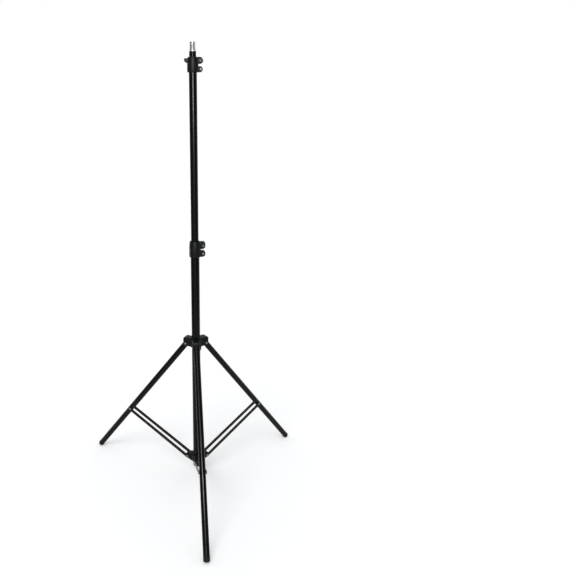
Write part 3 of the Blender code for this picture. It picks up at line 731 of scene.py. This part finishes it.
def clamp_body(name, sizes, tube_r, inner_r):
    """The split moulding of a clamp, standing on z = 0."""
    r, h, face = sizes["radius"], sizes["height"], ear_face(sizes)
    barrel = turned(
        name,
        [
            (r - 2.6, 0), (r - 1.9, 0.05), (r - 1.0, 0.45), (r - 0.35, 1.15), (r, 2.2), (r, h * 0.5),
            (r * 0.997, h * 0.56), (r * 0.988, h * 0.64), (r * 0.975, h * 0.72), (r * 0.957, h * 0.79),
            (r * 0.935, h * 0.86), (r * 0.912, h * 0.93), (r * 0.900, h * 0.96), (r * 0.870, h * 0.985),
            (r * 0.820, h), (r * 0.780, h),
        ],
        72,
    )
    for level in ("lower", "upper"):
        low, high = sizes[level + "_ear"]
        corner, x = sizes["ear_corner"], sizes["ear_reach"] - sizes["ear_corner"]
        ends = arc((x, low + corner), corner, -90, 0, 10) + arc((x, high - corner), corner, 0, 90, 10)
        ears = plate("ears", [(r * 0.8, low), *ends, (r * 0.8, high)], -face, face)
        with editing(ears):
            bpy.ops.mesh.select_all(action="SELECT")
            bpy.ops.mesh.bisect(
                plane_co=(r * MM, -face * MM, 0), plane_no=(math.sin(EAR_DRAFT), -math.cos(EAR_DRAFT), 0),
                use_fill=True, clear_outer=True, threshold=1e-6,
            )
        soften(ears, 0.9, 3)
        combine(barrel, ears, "UNION")
    for level in ("lower", "upper"):
        place = at(sizes["bolt_x"], 0, sizes[level + "_bolt"]) @ ACROSS
        sink = [(5.3, -face - 1), (5.3, -face), (5, -face + 0.3), (5, -face + SINK_DEPTH)]
        combine(barrel, moved(turned("sink", sink, 40), place), "DIFFERENCE")
        drill = [(2.8, -face - 1), (2.8, face - 0.4), (3.4, face + 1)]
        combine(barrel, moved(turned("drill", drill, 32), place), "DIFFERENCE")
    step = sizes["step"]
    bore = turned(
        "bore",
        [
            (tube_r + 1.1, -1), (tube_r + 0.9, 0), (tube_r + GAP, 0.6), (tube_r + GAP, step),
            (inner_r + GAP, step), (inner_r + GAP, h - 0.6), (inner_r + 0.9, h), (inner_r + 1.1, h + 1),
        ],
        72,
    )
    combine(barrel, bore, "DIFFERENCE")
    slit_outline = [(inner_r * 0.5, -1), (r * 2.2, -1), (r * 2.2, h + 1), (inner_r * 0.5, h + 1)]
    combine(barrel, plate("slit", slit_outline, -SLIT_HALF, SLIT_HALF), "DIFFERENCE")
    return barrel


CLAMPS = {
    "base": (BASE_CLAMP, BASE_CLAMP_Z, BASE_R, MID_R),
    "mid": (MID_CLAMP, MID_CLAMP_Z, MID_R, TOP_R),
}
for section, (sizes, seat_z, tube_r, inner_r) in CLAMPS.items():
    seat = MAST @ at(z=seat_z)
    face = ear_face(sizes)
    clamp = section + "_clamp"
    shell = clamp_body(section, sizes, tube_r, inner_r)
    finish_piece(shell, clamp, section, "charcoal_moulding", seat)
    low_bolt = seat @ at(sizes["bolt_x"], 0, sizes["lower_bolt"]) @ ACROSS
    high_bolt = seat @ at(sizes["bolt_x"], 0, sizes["upper_bolt"]) @ ACROSS
    under = -face + SINK_DEPTH - GAP
    front_nut = nut("front_nut", FRONT_NUT_R, FRONT_NUT_HEIGHT)
    nut_place = high_bolt @ at(z=under - FRONT_NUT_HEIGHT)
    finish_piece(front_nut, clamp + "_nut", section, "dull_steel", nut_place)
    back_nut = nut("back_nut", BACK_NUT_R, BACK_NUT_HEIGHT)
    nut_place = low_bolt @ at(z=face + GAP)
    finish_piece(back_nut, clamp + "_screw_nut", section, "rivet_steel", nut_place)
    screw = cross_screw("screw", under, face + SCREW_TAIL)
    finish_piece(screw, clamp + "_screw", section, "rivet_steel", low_bolt)
print("clamps and their screws are done")

# %% [markdown]
# Each clamp is tightened with a lever knob: a round boss over the bolt and one long wing. The wing's
# underside curves up to its tip, and a sunk panel on the back keeps the moulding evenly thick. The lever
# turns about the bolt, so it is built round the bolt's axis and turned to where it was left.

# %% Levers
LEVER_REACH, LEVER_HALF, LEVER_HUB_R = 45, 6.6, 7.5
LEVER_BLADE, LEVER_CLEARANCE, LEVER_SOCKET_WALL = 6.5, 1.8, 4
LEVER_TURNS = {"base": -30, "mid": 2.5}


def lever(name, sizes):
    """A lever pointing to -X, with its bolt's axis along Y through the origin."""
    near = sizes["radius"] + LEVER_CLEARANCE
    far = near + LEVER_BLADE
    hub_low = ear_face(sizes) + GAP
    tip = -LEVER_REACH
    hub_profile = [
        (6.3, hub_low), (7.2, hub_low + 0.3), (LEVER_HUB_R, hub_low + 1), (LEVER_HUB_R, far - 1.2),
        (7.2, far - 0.4), (6.5, far + 0.1), (5.6, far + 0.2), (5.0, far + 0.1), (4.6, far - 0.5),
        (4.2, far - 0.8),
    ]
    hub = moved(turned(name, hub_profile, 56), ACROSS)
    under = [
        (tip + 0.2, 0.6), (tip + 0.6, -0.9), (tip + 1.3, -2.4), (tip + 2.4, -3.9), (tip + 3.8, -5.1),
        (tip + 5.6, -6.0), (tip + 8.0, -6.5), (tip + 10.5, -6.6),
    ]
    crown = arc((tip + 3.8, LEVER_HALF - 4.6), 3.8, 90, 180, 8)
    blade = plate("blade", [(0, -LEVER_HALF), (0, LEVER_HALF), *crown, *under], near, far)
    with editing(blade):
        pick(blade, "EDGE", lambda corners: all(abs(c.y - near) < 0.01 for c in corners))
        bpy.ops.mesh.bevel(offset=1.8 * MM, segments=4, affect="EDGES")
        pick(blade, "FACE", lambda corners: all(abs(c.y - far) < 0.01 for c in corners))
        bpy.ops.mesh.inset(thickness=1.9 * MM)
        bpy.ops.mesh.extrude_region_move(TRANSFORM_OT_translate={"value": (0, -0.9 * MM, 0)})
    soften(blade, 0.9, 3)
    combine(hub, blade, "UNION")
    socket = turned("socket", [(2.8, hub_low - 1), (2.8, far - LEVER_SOCKET_WALL)], 32)
    combine(hub, moved(socket, ACROSS), "DIFFERENCE")
    return hub


def lever_bolt(name, sizes):
    """The bolt in a lever: its end shows in the front nut."""
    end = -ear_face(sizes) - 0.8
    socket_end = sizes["radius"] + LEVER_CLEARANCE + LEVER_BLADE - LEVER_SOCKET_WALL
    profile = [(1.7, end), (2.1, end + 0.35), *thread(2.5, end + 0.6, end + 9), (2.5, end + 9.4)]
    return moved(turned(name, [*profile, (2.5, socket_end - GAP)], 40), ACROSS)


for section, (sizes, seat_z, *_) in CLAMPS.items():
    turn = Matrix.Rotation(math.radians(LEVER_TURNS[section]), 4, "Y")
    axis = MAST @ at(sizes["bolt_x"], 0, seat_z + sizes["upper_bolt"]) @ turn
    body = section + "_lever"
    finish_piece(lever("lever", sizes), body, body, "charcoal_moulding", axis)
    finish_piece(lever_bolt("bolt", sizes), body + "_bolt", body, "dull_steel", axis)

# %% [markdown]
# The leg collar slides on the widest tube. Three forked lobes hold the legs between their cheeks, and a
# boss at the back takes the locking knob. The pocket in each fork is the shape that a leg sweeps from
# folded to open: a round end, one side straight down for the folded leg and one leaning out for the open
# leg.

# %% Collar
CUFF_R, COLLAR_TOP, COLLAR_BOTTOM, LOBE_REACH, LOBE_HALF = 17.3, 20, 7.4, 39, 12.7
FORK_HALF, POCKET_R, POCKET_REACH, BOSS_R, BOSS_REACH, BOSS_RISE = 9.8, 10.6, 34, 8.5, 27, 6.5
collar_seat = MAST @ at(z=COLLAR_PIVOT_Z)
cuff = [
    (15.2, -8), (16.6, -8), (CUFF_R, -7.3), (CUFF_R, 17.7), (16.9, 18.3), (16.2, 18.5), (15.2, 18.5),
]
collar = turned("collar", cuff, 72)
lobe_end = arc((PIVOT_RADIUS, 0), LOBE_REACH - PIVOT_RADIUS, -95, 0, 10)
lobe_top = arc((LOBE_REACH - 5, COLLAR_TOP - 5), 5, 0, 90, 8)
lobe_outline = [(10, -COLLAR_BOTTOM), *lobe_end, *lobe_top, (10, COLLAR_TOP)]
pocket = [(-POCKET_R, -POCKET_REACH), *arc((0, 0), POCKET_R, 180, LEG_SPREAD, 24)]
last_x, last_z = pocket[-1]
pocket.append((last_x + POCKET_REACH * math.sin(LEG_LEAN), last_z - POCKET_REACH * math.cos(LEG_LEAN)))
for degrees in SIDES.values():
    lobe = plate("lobe", lobe_outline, -LOBE_HALF, LOBE_HALF)
    soften(lobe, 2.3, 5)
    combine(collar, moved(lobe, about_z(degrees)), "UNION")
boss = turned(
    "boss",
    [
        (BOSS_R + 2, 14), (BOSS_R + 1.3, 16.3), (BOSS_R + 0.6, 17.6), (BOSS_R + 0.15, 19), (BOSS_R, 20.5),
        (BOSS_R, BOSS_REACH - 0.9), (BOSS_R - 0.3, BOSS_REACH - 0.25), (BOSS_R - 0.9, BOSS_REACH),
    ],
    56,
)
combine(collar, moved(boss, at(z=BOSS_RISE) @ ACROSS), "UNION")
for degrees in SIDES.values():
    pivot = about_z(degrees) @ at(PIVOT_RADIUS)
    combine(collar, moved(plate("pocket", pocket, -FORK_HALF, FORK_HALF), pivot), "DIFFERENCE")
    rivet_hole(collar, pivot)
collar_bore = [(14.4, -20), (14.4, -7.8), (13.4, -7.0), (13.4, 17.6), (14.2, 18.4), (14.2, 40)]
combine(collar, turned("bore", collar_bore, 72), "DIFFERENCE")
tunnel = turned("tunnel", [(4.7, 5), (4.7, BOSS_REACH - 0.5), (5.4, 40)], 32)
combine(collar, moved(tunnel, at(z=BOSS_RISE) @ ACROSS), "DIFFERENCE")
finish_piece(collar, "leg_collar", "collar", "charcoal_moulding", collar_seat)

# %% [markdown]
# The locking knob is a short round hub with two rounded wings. It clamps the collar by pressing a nylon
# pad against the tube. A brass insert in the boss carries its screw.

# %% Collar knob
knob_seat = collar_seat @ at(z=BOSS_RISE)
KNOB_SOCKET_WALL = 4
hub_low, hub_high = BOSS_REACH + 0.9, BOSS_REACH + 15
knob = turned(
    "knob",
    [
        (5.3, hub_low), (5.8, hub_low + 0.2), (6.1, hub_low + 0.8), (6.6, hub_high - 5),
        (7, hub_high - 1.4), (6.7, hub_high - 0.5), (6, hub_high), (2, hub_high),
    ],
    56,
)
wings = plate(
    "wings", arc((0, 13), 3, 0, 180, 12) + arc((0, -13), 3, 180, 360, 12), BOSS_REACH + 6, hub_high + 2
)
soften(wings, 1.2, 4)
combine(knob, moved(wings, ACROSS.inverted()), "UNION")
socket = turned("socket", [(3.1, 20), (3.1, hub_high - KNOB_SOCKET_WALL)], 32)
combine(knob, socket, "DIFFERENCE")
finish_piece(knob, "collar_knob", "collar_knob", "charcoal_moulding", knob_seat @ ACROSS)
screw_end = hub_high - KNOB_SOCKET_WALL - GAP
knob_screw = turned(
    "knob_screw", [(1.8, 16.2), (2.4, 16.6), *thread(2.8, 17, 32), (2.8, 32.4), (2.8, screw_end)], 40
)
finish_piece(knob_screw, "collar_knob_screw", "collar_knob", "dull_steel", knob_seat @ ACROSS)

# %% [markdown]
# The hub at the foot of the mast has three lugs. Each lug narrows outwards to a round end with the brace
# rivet through it.

# %% Hub
HUB_BORE_R, HUB_BARREL_R, HUB_LOW, HUB_HIGH, LUG_HALF, LUG_END_R = 13.3, 16.8, 49.5, 76, 10.7, 8.2
hub = turned(
    "hub",
    [
        (15, HUB_LOW), (16, HUB_LOW), (HUB_BARREL_R, HUB_LOW + 0.8), (HUB_BARREL_R, HUB_HIGH - 0.8),
        (16, HUB_HIGH), (15, HUB_HIGH),
    ],
    72,
)
lug_end = arc((PIVOT_RADIUS, HUB_PIVOT_Z), LUG_END_R, -100, 95, 20)
lug_low, lug_high = HUB_LOW + 0.5, HUB_HIGH - 0.6
lug_outline = [(10, lug_low), (HUB_BARREL_R, lug_low), *lug_end, (HUB_BARREL_R, lug_high), (10, lug_high)]
for degrees in SIDES.values():
    lug = plate("lug", lug_outline, -LUG_HALF, LUG_HALF)
    soften(lug, 1.0, 3)
    combine(hub, moved(lug, about_z(degrees)), "UNION")
for degrees in SIDES.values():
    rivet_hole(hub, about_z(degrees) @ at(PIVOT_RADIUS, 0, HUB_PIVOT_Z))
bore = turned(
    "bore",
    [
        (14.2, 20), (14.2, HUB_LOW), (HUB_BORE_R, HUB_LOW + 0.8), (HUB_BORE_R, HUB_HIGH - 0.8),
        (14.2, HUB_HIGH), (14.2, 100),
    ],
    72,
)
combine(hub, bore, "DIFFERENCE")
finish_piece(hub, "lower_hub", "base", "charcoal_moulding", MAST)

# %% [markdown]
# Rivets hold the legs and braces. A rivet's head is a low dome with a small flat, so its profile is an
# arc, mirrored for the other end.

# %% Rivets
def head_profile(reach):
    """A rivet's head, from its shank outwards."""
    r = RIVET_HEAD_R
    return [
        (RIVET_R, reach), (r - 0.1, reach), (r, reach + 0.15), (r, reach + 0.4), (r - 0.35, reach + 0.8),
        (r - 0.95, reach + 1.12), (r - 1.8, reach + 1.32), (0.7, reach + 1.42),
    ]


def rivet(name, reach):
    """A rivet along Y with a head at each end."""
    half = head_profile(reach)
    return moved(turned(name, [(r, -z) for r, z in reversed(half)] + half, 40), ACROSS)


# %% [markdown]
# One leg is modelled standing at the origin and then copied for each side: a tube with its two rivet
# holes, a domed plastic plug in its upper end, and a rubber foot pushed over the lower end. The foot's
# end is worn flat where it stands, so it is cut off at the floor after it is put in place.

# %% Legs
tube_end = LEG_LENGTH - FOOT_HEAD
leg_tube = tube("leg", LEG_R, LEG_BORE_R, -tube_end, LEG_TOP_END, 56)
stem = LEG_BORE_R - GAP
head = LEG_TOP_END + GAP
leg_plug = turned(
    "leg_plug",
    [
        (2, -14), (stem - 0.6, -14), (stem, -13.4), (stem, head), (LEG_R, head), (LEG_R, head + 0.5),
        (LEG_R * 0.975, head + 1.1), (LEG_R * 0.9, head + 1.9), (LEG_R * 0.78, head + 3.1),
        (LEG_R * 0.6, head + 4.2), (LEG_R * 0.4, head + 5.0), (LEG_R * 0.2, head + 5.4), (0.4, head + 5.5),
    ],
    56,
)
for target, depth in ((leg_tube, 0), (leg_tube, LEG_RIVET_AT), (leg_plug, 0)):
    rivet_hole(target, at(z=-depth), 15)
pin = turned("pin", [(RIVET_R, -LEG_R + 0.1), (RIVET_R, LEG_R - 0.1)], 32)
moved(pin, at(z=-LEG_RIVET_AT) @ ACROSS)
sole = -LEG_LENGTH
foot_top = -tube_end - GAP
foot = turned(
    "foot",
    [
        (1.2, sole), (FOOT_R - FOOT_CORNER, sole),
        *arc((FOOT_R - FOOT_CORNER, sole + FOOT_CORNER), FOOT_CORNER, -78, 0, 8),
        (FOOT_R, foot_top - 0.5), (FOOT_R - 0.15, foot_top - 0.15), (FOOT_R - 0.5, foot_top),
        (stem, foot_top), (stem, foot_top + 15), (stem - 1, foot_top + 16), (2, foot_top + 16),
    ],
    56,
)


for name, degrees in SIDES.items():
    body = name + "_leg"
    pivot = collar_seat @ about_z(degrees) @ at(PIVOT_RADIUS)
    place = pivot @ Matrix.Rotation(-LEG_LEAN, 4, "Y")
    finish_piece(copied(leg_tube, "tube"), body + "_tube", body, "black_enamel", place)
    finish_piece(copied(leg_plug, "plug"), body + "_top_plug", body, "charcoal_moulding", place)
    finish_piece(copied(pin, "pin"), body + "_rivet_pin", body, "rivet_steel", place)
    standing = moved(copied(foot, "foot"), place)
    with editing(standing):
        bpy.ops.mesh.select_all(action="SELECT")
        bpy.ops.mesh.bisect(
            plane_co=(0, 0, 0), plane_no=(0, 0, 1), use_fill=True, clear_inner=True, threshold=1e-6
        )
    finish_piece(standing, name + "_foot", body, "black_rubber")
    pivot_rivet = rivet("rivet", LOBE_HALF + GAP)
    finish_piece(pivot_rivet, name + "_pivot_rivet", "collar", "rivet_steel", pivot)
for master in (leg_tube, leg_plug, pin, foot):
    bpy.data.objects.remove(master)

# %% [markdown]
# A brace is a pair of flat strips, one on each side of the leg. Stamped strip has round ends and edges
# that are only just broken. The strips lean in a little towards the leg, so each one is turned by a
# fraction of a degree about the hub's rivet.

# %% Braces
STRIP_WIDTH, STRIP_THICKNESS, STRIP_AT_HUB, STRIP_AT_LEG = 11.3, 1.6, 11, 9.6
across = LEG_RIVET_AT * math.sin(LEG_LEAN)
rise = COLLAR_PIVOT_Z - LEG_RIVET_AT * math.cos(LEG_LEAN) - HUB_PIVOT_Z
brace_length, brace_lean = math.hypot(across, rise), math.atan2(across, rise)
strip_lean = math.atan2(STRIP_AT_HUB - STRIP_AT_LEG, brace_length)
half = STRIP_WIDTH / 2
strip_outline = arc((0, 0), half, 180, 360, 20) + arc((0, brace_length), half, 0, 180, 20)


def strip(name, sign):
    """One strip of a brace, standing up Z from the hub's rivet, on the +Y or the -Y side of the leg."""
    bar = plate(name, strip_outline, 0, STRIP_THICKNESS)
    soften(bar, 0.3, 2)
    near = min(STRIP_AT_HUB * sign, (STRIP_AT_HUB + STRIP_THICKNESS) * sign)
    moved(bar, at(y=near) @ Matrix.Rotation(strip_lean * sign, 4, "X"))
    for height in (0, brace_length):
        rivet_hole(bar, at(z=height))
    return bar


def leg_rivet_head(name, sign):
    """The rivet head outside one strip, at the leg."""
    reach = STRIP_AT_LEG + STRIP_THICKNESS + GAP
    profile = [(RIVET_R, STRIP_AT_LEG - 0.1), *head_profile(reach)]
    turn = Matrix.Rotation(math.radians(-90) * sign, 4, "X")
    return moved(turned(name, profile, 40), at(z=brace_length) @ turn)


for name, degrees in SIDES.items():
    body = name + "_brace"
    pivot = MAST @ about_z(degrees) @ at(PIVOT_RADIUS, 0, HUB_PIVOT_Z)
    place = pivot @ Matrix.Rotation(brace_lean, 4, "Y")
    for number, sign in ((1, -1), (2, 1)):
        finish_piece(strip("strip", sign), f"{body}_strip_{number}", body, "black_strip", place)
        head_node = f"{name}_leg_rivet_head_{number}"
        finish_piece(leg_rivet_head("head", sign), head_node, body, "rivet_steel", place)
    hub_rivet = rivet("rivet", STRIP_AT_HUB + STRIP_THICKNESS + GAP)
    finish_piece(hub_rivet, name + "_hub_rivet", body, "rivet_steel", place)

# %% [markdown]
# The guide bushes, the brass insert and the brake pad are hidden inside the tubes and the collar. Their
# CAD shapes are right as they are, so they only get their finishes.

# %% Hidden pieces
HIDDEN = {
    "mid_tube_bush": "grey_nylon", "top_tube_bush": "grey_nylon", "collar_brake_pad": "grey_nylon",
    "collar_insert": "brass",
}
for node, look in HIDDEN.items():
    inner_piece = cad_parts[node]
    inner_piece.data.materials.clear()
    inner_piece.data.materials.append(LOOKS[look])
replaced = {node for piece in finished for node in piece["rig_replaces"]}
print(len(replaced), "nodes replaced, left:", sorted(set(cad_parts) - replaced))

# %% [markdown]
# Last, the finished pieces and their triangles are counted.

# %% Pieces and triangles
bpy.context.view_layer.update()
triangles = sum(len(p.vertices) - 2 for piece in finished for p in piece.data.polygons)
print(len(finished), "pieces,", triangles, "triangles")
